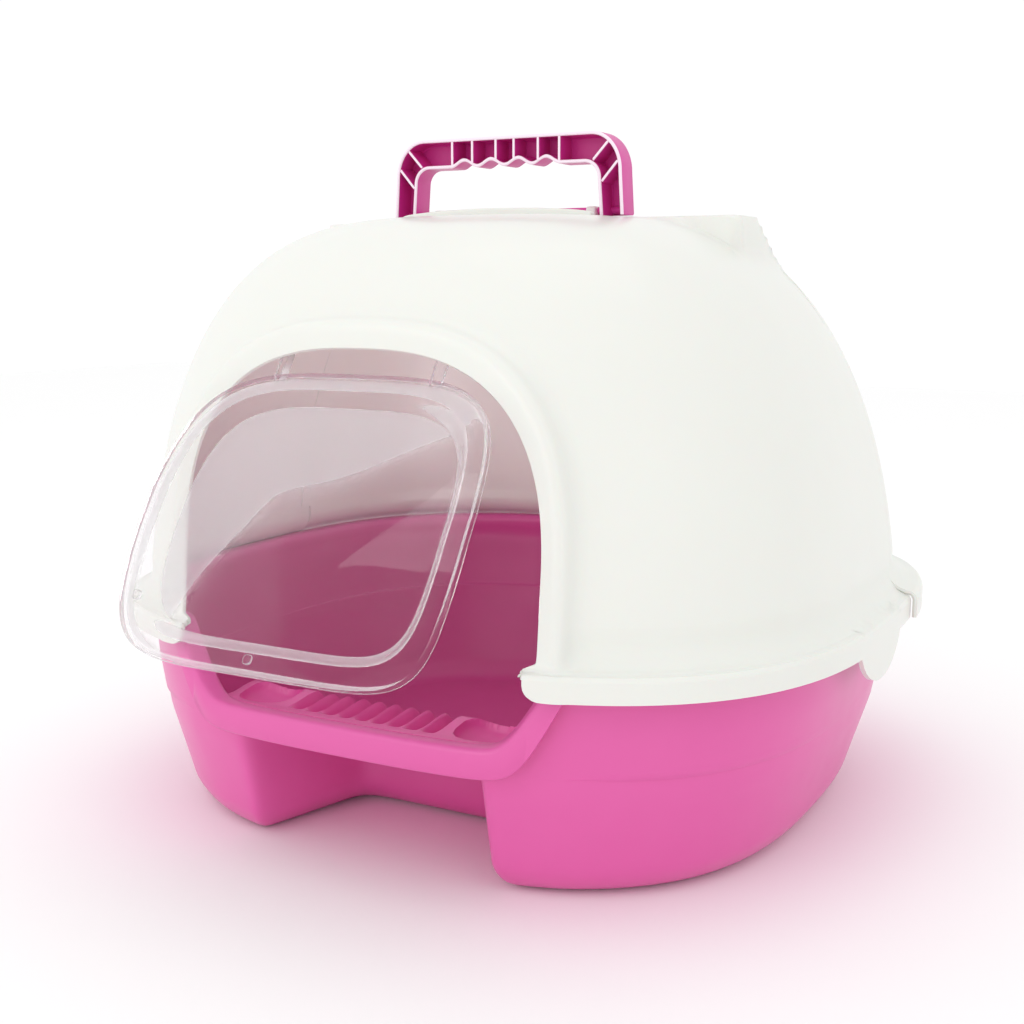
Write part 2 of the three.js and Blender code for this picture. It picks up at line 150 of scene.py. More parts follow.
def piece(name, shape, material, body, slot, *nodes, crease=38):
    """A closed mesh from points in millimetres, riding on a body and standing for CAD nodes."""
    points, faces = shape
    points = np.asarray(points).reshape(-1, 3) * MM
    mesh = bpy.data.meshes.new(name)
    mesh.from_pydata(points.tolist(), [], [list(map(int, f)) for f in faces])
    work = bmesh.new()
    work.from_mesh(mesh)
    bmesh.ops.remove_doubles(work, verts=work.verts, dist=0.00002)
    bmesh.ops.dissolve_degenerate(work, edges=work.edges, dist=0.000005)
    bmesh.ops.recalc_face_normals(work, faces=work.faces)
    work.to_mesh(mesh)
    work.free()
    mesh.shade_smooth()
    mesh.set_sharp_from_angle(angle=math.radians(crease))
    made = bpy.data.objects.new(name, mesh)
    bpy.context.scene.collection.objects.link(made)
    mesh.materials.append(material)
    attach(made, body)
    if nodes:
        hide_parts(*nodes)
    return made


def block(low, high, power=9.0):
    """A rounded block: a superellipsoid that fills the box from low to high."""
    low, high = np.array(low, float), np.array(high, float)
    around, up = np.linspace(0, 2 * np.pi, 41), np.linspace(-np.pi / 2, np.pi / 2, 21)
    u, v = np.meshgrid(around, up, indexing="ij")

    def bend(s):
        return np.sign(s) * np.abs(s) ** (2 / power)

    out = bend(np.cos(v))
    unit = np.stack([out * bend(np.cos(u)), out * bend(np.sin(u)), bend(np.sin(v))], -1)
    points = (low + high) / 2 + unit * (high - low) / 2
    return points, grid_quads(41, 21)


def rod(start, end, radius, sides=28):
    """A round rod along X with small chamfers at its ends."""
    along = np.array([start, start, start + 0.5, end - 0.5, end, end])
    size = np.array([0, radius - 0.5, radius, radius, radius - 0.5, 0])
    turn = np.linspace(0, 2 * np.pi, sides, endpoint=False)
    x = np.repeat(along[:, None], sides, 1)
    points = np.stack([x, size[:, None] * np.cos(turn), size[:, None] * np.sin(turn)], -1)
    return points, grid_quads(len(along), sides, True)


def turned(points, angle):
    """Points turned about the X axis."""
    c, s = math.cos(angle), math.sin(angle)
    x, y, z = points[..., 0], points[..., 1], points[..., 2]
    return np.stack([x, c * y - s * z, s * y + c * z], -1)


def crossing(value, low, high):
    """Where value(t) changes sign from minus to plus between low and high, by halving, for whole arrays."""
    low, high = np.broadcast_arrays(np.asarray(low, float), np.asarray(high, float))
    for _ in range(34):
        middle = (low + high) / 2
        inside = value(middle) < 0
        low, high = np.where(inside, middle, low), np.where(inside, high, middle)
    return (low + high) / 2


def normals(points):
    """Unit normals of a grid of points, from the cross product of its two directions."""
    n = np.cross(np.gradient(points, axis=1), np.gradient(points, axis=0))
    return n / np.maximum(np.linalg.norm(n, axis=-1, keepdims=True), 1e-9)


# ---------------------------------------------------------------- hood

def dome_gap(x, y, z, inset=0.0, skirt=SKIRT_HALF_WIDTH):
    """Below 0 inside the dome: a superellipse plan whose half-width follows the section from the
    skirt over the flange's step up to a flat roof. The plan turns rounder and forwards with height."""
    rise = np.clip((z - DOME_BASE) / DOME_RISE, 0, 0.9999)
    section = (1 - DOME_DRAFT * rise) * (1 - rise**DOME_RISE_POWER) ** (1 / DOME_WIDTH_POWER)
    width = (DOME_HALF_WIDTH - inset) * section
    ledge = np.clip((z - FLANGE_RIDGE + 0.8) / 17, 0, 1)
    groove = 1.6 * ease((z - 143) / 4) * ease((152 - z) / 5) * (z < FLANGE_RIDGE)
    width = width + (skirt - width) * (1 - np.sqrt(1 - (1 - ledge) ** 2)) - groove
    power = PLAN_POWER + (DOME_TOP_POWER - PLAN_POWER) * rise**1.5
    forward = CENTRE_Y - DOME_FORWARD * rise**1.5
    across, along = np.abs(x) / width, np.abs(y - forward) / (width * DEPTH_RATIO)
    reach = (across**power + along**power) ** (1 / power)
    return smooth_max((reach - 1) * width, z - (CREST - inset), 9)


def arch_gap(x, z, half_width, top):
    """Below 0 inside an arch: straight jambs below the spring line, a superelliptic head above it."""
    head = np.maximum(z - ARCH_SPRING, 0) / (top - ARCH_SPRING)
    reach = ((np.abs(x) / half_width) ** ARCH_POWER + head**ARCH_POWER) ** (1 / ARCH_POWER)
    return (reach - 1) * half_width


def hood_gap(x, y, z):
    """Below 0 inside the hood: the dome, the leaning surround of the entry and the band with the ears,
    under a lid that leaves room for the folded handle."""
    front = SURROUND_FRONT + SURROUND_LEAN * (z - SKIRT_BOTTOM) - y
    surround = smooth_max(arch_gap(x, z, SURROUND_HALF_WIDTH, SURROUND_TOP), front, 7)
    tail = z - np.where(y > EAR_BACK, CREST - (y - EAR_BACK) * EAR_FALL, CREST)
    ear = smooth_max(np.abs(x) - EAR_TIP - EAR_LEAN * (CREST - z), -y, 3)
    ear = smooth_max(ear, smooth_max(tail, y - EAR_END, 6), 3)
    lid = CREST + LID_RISE + 2.4 * ease((np.abs(x) - HANDLE_CLEAR) / 40)
    hood = smooth_min(smooth_min(dome_gap(x, y, z), surround, 8), ear, 9)
    return np.maximum(hood, z - lid)


def shell_faces(rows, columns):
    """Faces of a shell whose rows run outer side, edge, inner side, edge; its first and last rows are
    closed."""
    width = 2 * columns + 2
    faces = grid_quads(rows, width, True).tolist()
    c = np.arange(columns - 1)
    for start in (0, (rows - 1) * width):
        across = start + 2 * columns - c
        faces += np.stack([start + c, start + c + 1, across - 1, across], -1).tolist()
        faces += [[start, start + 2 * columns, start + 2 * columns + 1],
                  [start + columns - 1, start + columns, start + columns + 1]]
    return faces


def thick(outer, wall, edge=0.9):
    """A shell from its outer side: the inner side is wall further in, and the edges are rounded."""
    inner = outer - normals(outer) * wall

    def rim(last, before):
        out = outer[:, last] - outer[:, before]
        out = out / np.maximum(np.linalg.norm(out, axis=-1, keepdims=True), 1e-9)
        return ((outer[:, last] + inner[:, last]) / 2 + out * edge)[:, None]

    return np.concatenate([outer, rim(-1, -3), inner[:, ::-1], rim(0, 2)], 1)


def spread(count, ends, fine=0.0012):
    """From 0 to 1 in count steps, with a few fine steps at each end."""
    t = np.linspace(0, 1, count)
    extra = fine * np.arange(1, ends + 1) ** 1.5
    return np.sort(np.concatenate([t, extra, 1 - extra]))


def flange_rows():
    """Steps down from DOME_BASE (0) to the skirt's edge (1), close together round the flange's ridge."""
    below, beside = np.linspace(SKIRT_BOTTOM, 142, 7), np.linspace(143, 151, 17)
    z = np.concatenate([below, beside, np.linspace(152.5, 169, 10)])
    return (DOME_BASE - z) / (DOME_BASE - SKIRT_BOTTOM)


def hood_front():
    """Rays from the line x=0, y=CENTRE_Y find the outer side. Rows fan round that line, and stand one
    above another below DOME_BASE; columns run from the entry's edge to the seam."""
    fan = np.linspace(0, np.pi, 226)
    fan = fan - 0.16 * np.sin(4 * fan) / 4
    low = flange_rows()
    psi = np.concatenate([0 * low, fan, np.pi + 0 * low])[:, None]
    drop = np.concatenate([low, 0 * fan, low[::-1]])[:, None]
    ex, ez = np.cos(psi), np.maximum(np.sin(psi), 0)
    base = DOME_BASE - drop * (DOME_BASE - SKIRT_BOTTOM)

    def past_entry(r):
        return arch_gap(r * ex, base + r * ez, ENTRY_HALF_WIDTH, ENTRY_TOP)

    radius = crossing(past_entry, 40 + 0 * psi, 400) - FLANGE_END * ease((150 - base) / 4)
    edge_y = crossing(lambda t: hood_gap(radius * ex, -100 - t, base + radius * ez), 0 * psi, 200)
    start = np.arctan2(radius, CENTRE_Y + 100 + edge_y)
    side = crossing(lambda r: hood_gap(r * ex, SEAM_Y, base + r * ez), 60 + 0 * psi, 500)
    end = np.arctan2(side, CENTRE_Y - SEAM_Y)
    theta = start + (end - start) * spread(132, 3)
    along = CENTRE_Y - SKIRT_HALF_WIDTH / np.tan(theta) - TAB_Y
    tab = TAB_DROP * np.clip(1 - np.abs(along / TAB_HALF_WIDTH) ** 2.2, 0, 1) ** 0.7
    corner = np.clip(1 - (theta - start) * 240 / 9, 0, 1)
    base = base - drop**2 * tab + drop**3 * 9 * (1 - np.sqrt(1 - corner**2))
    dx, dy, dz = np.sin(theta) * ex, -np.cos(theta), np.sin(theta) * ez
    reach = crossing(lambda t: hood_gap(t * dx, CENTRE_Y + t * dy, base + t * dz), 30 + 0 * theta, 600)
    outer = np.stack([reach * dx, CENTRE_Y + reach * dy, base + reach * dz], -1)
    rows, columns = theta.shape
    shell = thick(outer, WALL)
    return shell, shell_faces(rows, columns)


def hood_rear():
    """Rays from the seam's middle find the outer side: level below DOME_BASE, then rising to the roof."""
    low = DOME_BASE - flange_rows()[:, None] * (DOME_BASE - SKIRT_BOTTOM)
    up = np.linspace(0, np.pi / 2, 90)[:, None]
    beta = np.pi * spread(190, 2)[None]
    z0 = np.concatenate([low, np.full_like(up, DOME_BASE)])
    y0 = np.concatenate([np.full_like(low, SEAM_Y + 0.4), np.full_like(up, SEAM_Y - REAR_LAP)])
    tilt = np.concatenate([np.zeros_like(low), up])
    dx, dy, dz = np.cos(tilt) * np.cos(beta), np.cos(tilt) * np.sin(beta), np.sin(tilt) + 0 * beta

    def past_dome(t):
        return dome_gap(t * dx, y0 + t * dy, z0 + t * dz, REAR_INSET, SKIRT_HALF_WIDTH + 1)

    reach = crossing(past_dome, 30 + 0 * dx, 600)
    outer = np.stack([reach * dx, y0 + reach * dy, z0 + reach * dz], -1)
    shell = thick(outer[:, ::-1], WALL)
    rows, columns = dx.shape
    return shell, shell_faces(rows, columns)


def roof_rib():
    """The arched rib across the roof in front of the handle: a rounded slab whose top bows up."""
    half_width, front = 73.0, -36.0
    points, faces = block([-half_width, front, CREST - 7], [half_width, front + 7, CREST + 3], 10)
    points[..., 2] += 3.4 * (1 - (points[..., 0] / half_width) ** 2) * (points[..., 2] > CREST - 2)
    return points, faces


def hood_fittings():
    """The roof rib, the two clips for the handle's shaft and the flap's two bearing blocks."""
    parts = [roof_rib()]
    axis_y, axis_z = FLAP_AXIS[1:]
    for side in (-1, 1):
        clip = side * CLIP_X
        low, high = [clip - 4, SHAFT_Y - 5.5, CREST - 3], [clip + 4, SHAFT_Y + 5.5, SHAFT_Z + 3.2]
        parts.append(block(low, high, 5))
        bearing = side * BEARING_X
        low, high = [bearing - 2.5, axis_y - 6, axis_z - 7], [bearing + 2.5, axis_y + 7, axis_z + 10]
        parts.append(block(low, high, 6))
    return joined(parts)


# ---------------------------------------------------------------- pan

def plan_xy(half_width, phi, centre):
    """The plan outline of that half-width, at each direction phi."""
    across, along = np.abs(np.cos(phi)), np.abs(np.sin(phi)) / DEPTH_RATIO
    reach = (across**PLAN_POWER + along**PLAN_POWER) ** (-1 / PLAN_POWER)
    return np.stack([half_width * reach * np.cos(phi), centre + half_width * reach * np.sin(phi)], -1)


def sill_line(x, start, low, high, slope, bend):
    """A U in the front view: low + slope * bend * log(1 + e^((|x| - start) / bend)), which is level in
    the middle and bends up near start to a steady slope, no higher than high."""
    rise = slope * bend * np.log1p(np.exp((np.minimum(np.abs(x), 220) - start) / bend))
    return smooth_min(low + rise, high, 5)


def rounded_columns(xy, passes=24):
    """Corners of the outline rounded by averaging each point with its neighbours."""
    for _ in range(passes):
        xy = 0.5 * xy + 0.25 * np.roll(xy, 1, 0) + 0.25 * np.roll(xy, -1, 0)
    return xy


def front_of_plan(x, half_width):
    """How far forward of the plan's centre its outline stands at x: b * (1 - |x / a|^n)^(1/n)."""
    return DEPTH_RATIO * half_width * (1 - (np.abs(x) / half_width) ** PLAN_POWER) ** (1 / PLAN_POWER)


def litter_pan():
    """Closed rings, one per height: out from the middle of the base, up the wall, over the rim and
    down inside. Rings below RECESS_TOP turn in round the step recess; the rim dips as a U at the entry."""
    x_front = np.linspace(-ENTRY_SIDE, ENTRY_SIDE, 185)
    y_front = -front_of_plan(x_front, DOME_HALF_WIDTH)
    phi_front = np.arctan2(y_front, x_front)
    phi_back = np.linspace(phi_front[-1], phi_front[0] + 2 * np.pi, 222)[1:-1]
    phi = np.concatenate([phi_front, phi_back])
    front = np.concatenate([np.abs(x_front) < RECESS_MOUTH, np.zeros(len(phi_back), bool)])
    first, last = np.flatnonzero(front)[[0, -1]]
    s = np.linspace(0, 3, last - first + 1)[:, None]
    x_at = np.concatenate([x_front, np.full(len(phi_back), 400.0)])
    top = sill_line(x_at, 104, SILL_LOW, PAN_RIM, 1.6, 4.5)
    under = sill_line(x_at, 112, SILL_LOW - SILL_BAND, SKIRT_BOTTOM, 2.0, 6.0)

    def plan(z, grow, directions=phi):
        z = np.asarray(z, float)
        half = np.interp(z, WALL_HEIGHTS, WALL_WIDTHS) + grow
        centre = CENTRE_Y - PAN_SLIDE * np.clip(1 - z / SKIRT_BOTTOM, 0, 1)
        return plan_xy(half, directions, centre)

    def ring(z, grow, inset=0.0):
        """The outline with the recess cut in, grown by grow and drawn in by inset."""
        mouth = RECESS_MOUTH + RECESS_FLARE * max(1 - z / RECESS_TOP, 0) ** 1.3 - grow + inset
        spacing = (ENTRY_SIDE - mouth) / (ENTRY_SIDE - RECESS_MOUTH)
        beside = mouth + (np.abs(x_front) - RECESS_MOUTH) * spacing
        x = np.sign(x_front) * np.where(np.abs(x_front) < RECESS_MOUTH, 0, beside)
        directions = np.arctan2(-front_of_plan(x, DOME_HALF_WIDTH), x)
        xy = plan(z, grow - inset, np.concatenate([directions, phi_back]))
        mouth_l, mouth_r = xy[first - 1], xy[last + 1]
        back = RECESS_BACK - RECESS_SLOPE * np.clip((z - 52) / 30, 0, 1) ** 2 - grow + inset
        wide = RECESS_HALF_WIDTH - grow + inset
        inner_l, inner_r = np.array([-wide, back]), np.array([wide, back])
        into, across = mouth_l + (inner_l - mouth_l) * s, inner_l + (inner_r - inner_l) * (s - 1)
        back_out = inner_r + (mouth_r - inner_r) * (s - 2)
        xy[first:last + 1] = np.where(s < 1, into, np.where(s < 2, across, back_out))
        return rounded_columns(xy)

    rows = []

    def add(xy, z):
        rows.append(np.concatenate([xy, np.broadcast_to(z, (len(phi),))[:, None]], 1))

    def base_rows(z, grow, inset, steps):
        """Rings at one height, at these shares of the way from a point near the back to the edge."""
        middle = np.array([0.0, 150.0])
        edge = ring(z, grow, inset)
        for k in steps:
            add(middle + (edge - middle) * k, z)

    def over_recess(z, grow, steps):
        """Rings that pass from the recessed outline to the plain one: the ceiling of the recess."""
        at_recess, at_plan = ring(z, grow), plan(z, grow)
        for k, lift in steps:
            add(at_recess + (at_plan - at_recess) * ease(k), z + lift)

    shares = (0, 0.45, 0.8, 0.97)
    arc = np.linspace(0, np.pi / 2, 12)
    ceiling = RECESS_TOP + WALL
    inner_round = FOOT_ROUND - WALL
    # Outside, going up
    base_rows(0.0, 0, FOOT_ROUND, shares)
    for a in arc:
        z = FOOT_ROUND * (1 - math.cos(a))
        add(ring(z, 0, FOOT_ROUND * (1 - math.sin(a))), z)
    for z in np.linspace(FOOT_ROUND, RECESS_TOP - 1.5, 13)[1:]:
        add(ring(z, 0), z)
    over_recess(RECESS_TOP, 0, [(k, 0.4 * k) for k in np.linspace(0, 1, 9)])
    above = RECESS_TOP + 0.6
    for k in np.linspace(0, 1, 12)[1:]:
        z = above + (under - above) * k
        add(plan(z, 0), z)
    # The rim and the sill, as half-widths and lifts from the band's lower and upper line
    for half, lift in [(255.5, 0.0), (257.3, 0.5), (258, 1.6)]:
        add(plan_xy(half, phi, CENTRE_Y), under + lift)
    outer_lip = [(258, -3.2), (257.5, -1.5), (256.2, -0.4), (254.5, 0.0)]
    inner_lip = [(248.5, 0.0), (246.2, -0.5), (244.9, -1.8), (244.3, -4)]
    for half, lift in outer_lip + inner_lip:
        add(plan_xy(half, phi, CENTRE_Y), top + lift)
    # Inside, going down
    shelf = ceiling + 1
    for k in np.linspace(1, 0, 12):
        z = shelf + (top - 6 - shelf) * k
        blend = ease((top - 6 - z) / 12)[:, None]
        add(plan_xy(244, phi, CENTRE_Y) * (1 - blend) + plan(z, -WALL) * blend, z)
    over_recess(ceiling, -WALL, [(k, 0.5 * k) for k in np.linspace(1, 0, 9)])
    for z in np.linspace(ceiling - 2, FOOT_ROUND, 12):
        add(ring(z, -WALL), z)
    for a in arc[::-1]:
        z = WALL + inner_round * (1 - math.cos(a))
        add(ring(z, -WALL, inner_round * (1 - math.sin(a))), z)
    base_rows(WALL, -WALL, inner_round, shares[::-1])
    return np.stack(rows), grid_quads(len(rows), len(phi), True)


def step_plate():
    """A crowned plate behind the sill. Its upper side is a height over x and y: the crown, less a raised
    cosine across x for the grooves, less a superelliptic bowl for a finger at each end. A flat underside
    and skirts close it."""
    x = np.linspace(-PLATE_HALF_WIDTH, PLATE_HALF_WIDTH, 429)[None]
    t = np.linspace(0, 1, 60)[:, None]
    front = CENTRE_Y - front_of_plan(x, 247)
    y = front + (PLATE_BACK - front) * t
    fall = 9 * np.clip((t - 0.74) / 0.26, 0, 1) ** 2
    crown = SILL_LOW - 0.05 - 0.8 * ease(t / 0.2) + 2.0 * ease((t - 0.3) / 0.4) - fall
    groove = (0.5 + 0.5 * np.cos(2 * np.pi * x / GROOVE_PITCH)) ** 0.6
    reach = ease(GROOVE_PITCH * GROOVE_COUNT / 2 - np.abs(x)) * ease((t - 0.16) / 0.22)
    off_x, off_y = np.abs(np.abs(x) - FINGER_X) / 19, np.abs(y - FINGER_Y) / 20
    bowl = np.clip(1 - off_x**2.4 - off_y**2.4, 0, 1) ** 0.42
    z = np.maximum(crown - GROOVE_DEPTH * groove * reach - FINGER_DEPTH * bowl, PLATE_FOOT + 0.8)
    z = z - 1.2 * (1 - np.minimum(ease((1 - t) / 0.06), ease((PLATE_HALF_WIDTH - np.abs(x)) / 3)))
    top = np.stack([x + 0 * t, y, z], -1)
    base = top.copy()
    base[..., 2] = PLATE_FOOT
    loop = np.concatenate([top, base[:, ::-1]], 1)
    rows, columns = z.shape
    faces = grid_quads(rows, 2 * columns, True).tolist()
    c = np.arange(columns - 1)
    for start in (0, (rows - 1) * 2 * columns):
        across = start + 2 * columns - 1 - c
        faces += np.stack([start + c, start + c + 1, across - 1, across], -1).tolist()
    return loop, faces


# ---------------------------------------------------------------- flap

def flap_outline(turn):
    """The flap's outline as a superellipse, squarer at the bottom, narrowing a little up and down."""
    power = np.where(np.sin(turn) < 0, 6.0, 3.8)
    c, s = np.cos(turn), np.sin(turn)
    reach = (np.abs(c) ** power + np.abs(s) ** power) ** (-1 / power)
    x, z = FLAP_HALF[0] * reach * c, FLAP_MIDDLE + FLAP_HALF[1] * reach * s
    below, above = np.clip((-z - 130) / 74, 0, 1) ** 1.5, np.clip((z + 100) / 80, 0, 1)
    return np.stack([x * (1 - 0.05 * below - 0.05 * above), z], -1)


def flap_bow(z):
    """How far the flap stands forward at each height below its axis: a parabola over its length."""
    t = np.clip((-z - 11) / 199, 0, 1)
    return FLAP_BOW * t * (1 - t)


def flap_dish(inset):
    """How far the panel stands forward of the rim band: a step back behind it, then a rounded rise."""
    rise = 1 - np.clip((inset - 20) / 73.5, 0, 1)
    return -7.5 * ease((inset - 11.5) / 9) + 5.5 * (1 - rise**2)


def flap_door():
    """Rings from the middle of the flap to its edge and back: a shallow dish, a step up to a flat rim
    band, and an edge turned back. Arms and pins carry it; a small bump and a finger pull stand on it."""
    turn = np.linspace(0, 2 * np.pi, 240, endpoint=False)
    edge = flap_outline(turn)
    middle = np.array([0.0, FLAP_MIDDLE])
    panel, step = np.linspace(93.4, 24, 24), np.linspace(22, 10, 25)
    insets = np.concatenate([panel, step, [8, 5, 2.6, 1.2, 0.4, 0]])
    edge_round = np.clip(1.2 - insets, 0, 1.2)
    front = flap_dish(insets) - 0.75 * (1.2 - np.sqrt(1.2**2 - edge_round**2))
    lip = [(0, -5.2), (0.4, -6.2), (1.2, -6.6), (2.0, -6.2), (2.4, -5.0), (2.8, -3.0), (4.0, -2.4)]
    behind = insets[insets > 7][::-1]
    profile = list(zip(insets, front)) + lip + list(zip(behind, flap_dish(behind) - 2.3))
    rows = []
    for inset, height in profile:
        xz = middle + (edge - middle) * (1 - inset / FLAP_HALF)
        y = -flap_bow(xz[:, 1]) - height - 1.2
        rows.append(np.stack([xz[:, 0], y, xz[:, 1]], -1))
    parts = [(np.stack(rows), grid_quads(len(rows), len(turn), True))]
    for side in (-1, 1):
        arm = side * ARM_X
        parts.append(block([arm - 4, -3.0, -24], [arm + 4, 1.2, 3.4], 5))
        pin = sorted((side * (ARM_X - 3), side * (ARM_X + 13)))
        parts.append(rod(*pin, PIN_RADIUS))
    for x, z in ((-4, -196), (-92, -170)):
        parts.append(block([x - 3, -flap_bow(z) - 3.4, z - 3], [x + 3, -flap_bow(z) - 0.6, z + 3], 2.6))
    points, faces = joined(parts)
    return turned(points, -FLAP_OPEN) + FLAP_AXIS, faces


# ---------------------------------------------------------------- handle

def handle_line(half_width, top, corner_x, corner_z, wave):
    """One line of the handle in the front view, from the left foot over the bar to the right foot: a
    leaning leg, a quarter ellipse and the bar, raised by wave, then the same mirrored."""
    foot = SHAFT_Z - FOOT_RADIUS
    up = np.linspace(0, 1, 26, endpoint=False)
    bend = np.linspace(0, np.pi / 2, 16, endpoint=False)
    shoulder, spring = half_width - HANDLE_LEAN, top - corner_z
    leg = np.stack([-half_width + HANDLE_LEAN * up, foot + (spring - foot) * up], -1)
    corner = np.stack([-shoulder + corner_x * (1 - np.cos(bend)), spring + corner_z * np.sin(bend)], -1)
    bar = np.linspace(-1, 1, len(wave))
    bar = np.stack([(shoulder - corner_x) * bar, top + wave], -1)
    left = np.concatenate([leg, corner])
    return np.concatenate([left, bar, left[::-1] * np.array([-1.0, 1.0])])


def handle_lines():
    """The handle's outer and inner lines, as points with the same parameter. Under the bar the inner
    line is a squared sine, one wave for each of four fingers."""
    bar = np.linspace(-1, 1, 121)
    finger = np.clip(bar * 60 / GRIP_PITCH, -2, 2) * np.pi
    wave = GRIP_WAVE * np.where(np.abs(bar) < 0.71, np.sin(finger + np.pi) ** 2, 0)
    outer = handle_line(HANDLE_HALF_WIDTH, HANDLE_TOP, 22, 26, 0 * wave)
    inner = handle_line(HANDLE_HALF_WIDTH - HANDLE_LEG, GRIP_UNDERSIDE, 10, 10, wave)
    return outer, inner


def channel_section():
    """The channel's section: pairs of an inset and a Y place, from the outer line (0) or inner line (1)."""
    front, back, wall, soft = HANDLE_FRONT, HANDLE_BACK, HANDLE_WALL, 0.6
    outside = [(soft, front), (0, front + soft), (0, back - 2), (soft, back - soft), (2, back)]
    inside = [(wall - soft, front), (wall, front + soft), (wall, back - wall - 1), (wall + 1, back - wall)]
    section = [(0, inset, y) for inset, y in outside] + [(1, inset, y) for inset, y in outside[::-1]]
    return section + [(1, inset, y) for inset, y in inside] + [(0, inset, y) for inset, y in inside[::-1]]


def carry_handle():
    """A channel open to the front, carried from foot to foot: outer wall, back, inner wall; with ribs
    across the bar, two slanting ribs in each corner, and the shaft through both feet."""
    outer, inner = handle_lines()
    across = inner - outer
    size = np.linalg.norm(across, axis=-1, keepdims=True)
    across = across / size
    columns = []
    for far, inset, y in channel_section():
        xz = outer + across * (size - inset if far else inset)
        columns.append(np.stack([xz[:, 0], np.full(len(xz), y), xz[:, 1]], -1))
    points = np.stack(columns, 1)
    drop = np.maximum(FOOT_RADIUS**2 - (SHAFT_Z - points[..., 2]) ** 2, 0)
    heel = np.minimum(points[..., 1], SHAFT_Y + np.sqrt(drop))
    points[..., 1] = np.where(points[..., 2] < SHAFT_Z, heel, points[..., 1])
    rows, width = points.shape[:2]
    faces = grid_quads(rows, width, True).tolist()
    for start in (0, (rows - 1) * width):
        ring = [start + i for i in range(width)]
        faces += [ring[0:3] + [ring[15], ring[16], ring[17]], ring[2:8] + ring[12:16], ring[7:13]]
    parts = [(points, faces)]
    y0, y1 = HANDLE_FRONT + 0.6, HANDLE_BACK - 1
    for x in (7, 25.5, 41.5):
        foot = GRIP_UNDERSIDE + 0.8 + GRIP_WAVE * math.sin(math.pi * x / GRIP_PITCH) ** 2
        for side in (-1, 1):
            middle = side * x
            parts.append(block([middle - 0.9, y0, foot], [middle + 0.9, y1, HANDLE_TOP - 0.8], 12))
    for side in (-1, 1):
        for xa, za, xb, zb in ((72.5, 423, 84.6, 436.8), (66, 437, 77.6, 449.4)):
            parts.append(slanting_rib(side * xa, za, side * xb, zb, y0, y1))
    shaft, ring = rod(-87, 87, SHAFT_RADIUS)
    parts.append((shaft + np.array([0, SHAFT_Y, SHAFT_Z]), ring))
    return joined(parts)


def slanting_rib(xa, za, xb, zb, y0, y1):
    """A thin rounded rib from (xa, za) to (xb, zb) in the front view."""
    length = math.hypot(xb - xa, zb - za)
    points, faces = block([-length / 2, y0, -0.9], [length / 2, y1, 0.9], 12)
    c, s = (xb - xa) / length, (zb - za) / length
    x, z = points[..., 0].copy(), points[..., 2].copy()
    points[..., 0] = (xa + xb) / 2 + c * x - s * z
    points[..., 2] = (za + zb) / 2 + s * x + c * z
    return points, faces


# ---------------------------------------------------------------- finishes

class Wire:
    """A node socket with arithmetic: an expression on wires adds its Math nodes."""

    def __init__(self, tree, out=None):
        self.tree, self.out = tree, out

    def node(self, kind, settings=(), sockets=(), output=0):
        """Adds a node: its settings first, then the values or links of its sockets."""
        made = self.tree.nodes.new(kind)
        for name, value in dict(settings).items():
            setattr(made, name, value)
        for name, value in dict(sockets).items():
            if isinstance(value, Wire):
                self.tree.links.new(value.out, made.inputs[name])
            else:
                made.inputs[name].default_value = value
        return Wire(self.tree, made.outputs[output])

    def blend(self, share, first, second):
        """The first colour where share is 0, the second where it is 1."""
        return self.node("ShaderNodeMix", {"data_type": "RGBA"}, {"Factor": share, 6: first, 7: second}, 2)

    def _math(self, operation, a, b):
        return self.node("ShaderNodeMath", {"operation": operation}, {0: a, 1: b})

    def __add__(self, other):
        return self._math("ADD", self, other)

    def __sub__(self, other):
        return self._math("SUBTRACT", self, other)

    def __rsub__(self, other):
        return self._math("SUBTRACT", other, self)

    def __mul__(self, other):
        return self._math("MULTIPLY", self, other)

    __radd__, __rmul__ = __add__, __mul__

    def into(self, socket):
        self.tree.links.new(self.out, socket)


def moulded_plastic(name, colour, shade, roughness, coat=0.15, scatter=0.0, edges=None):
    """Glossy moulded plastic: faint clouds of colour, uneven gloss, fine grain and a slight waviness.
    edges is a pale colour painted on thin wall edges in front of the plane y = EDGE_PLANE, as a painted
    highlight."""
    material = bpy.data.materials.new(name)
    material.use_nodes = True
    tree = material.node_tree
    shader = tree.nodes["Principled BSDF"]
    wire = Wire(tree)
    place = wire.node("ShaderNodeTexCoord", output="Object")
    clouds = wire.node("ShaderNodeTexNoise", sockets={"Vector": place, "Scale": 7.0, "Detail": 3.0})
    smears = wire.node("ShaderNodeTexNoise", sockets={"Vector": place, "Scale": 38.0, "Detail": 4.0})
    grain = wire.node("ShaderNodeTexNoise", sockets={"Vector": place, "Scale": 1400.0, "Detail": 2.0})
    waves = wire.node("ShaderNodeTexNoise", sockets={"Vector": place, "Scale": 11.0, "Detail": 1.0})
    body = wire.blend(clouds * 0.6 + smears * 0.4, (*colour, 1), (*shade, 1))
    # Painted highlight: thin wall edges in front of EDGE_PLANE take the pale edges colour in place of the
    # body colour.
    if edges:
        depth = wire.node("ShaderNodeSeparateXYZ", sockets={"Vector": place}, output="Y")
        highlight_mask = wire.node("ShaderNodeClamp", sockets={"Value": (EDGE_PLANE - depth) * 2500.0})
        body = wire.blend(highlight_mask, body, (*edges, 1))
    body.into(shader.inputs["Base Color"])
    (roughness + (smears - 0.5) * 0.08 + (clouds - 0.5) * 0.06).into(shader.inputs["Roughness"])
    bumps = {"Height": grain * 0.000012 + waves * 0.0006, "Strength": 0.55, "Distance": 1.0}
    wire.node("ShaderNodeBump", sockets=bumps).into(shader.inputs["Normal"])
    shader.inputs["IOR"].default_value = 1.49
    shader.inputs["Coat Weight"].default_value = coat
    shader.inputs["Coat Roughness"].default_value = 0.12
    if scatter:
        shader.inputs["Subsurface Weight"].default_value = scatter
        shader.inputs["Subsurface Scale"].default_value = 0.004
    return material


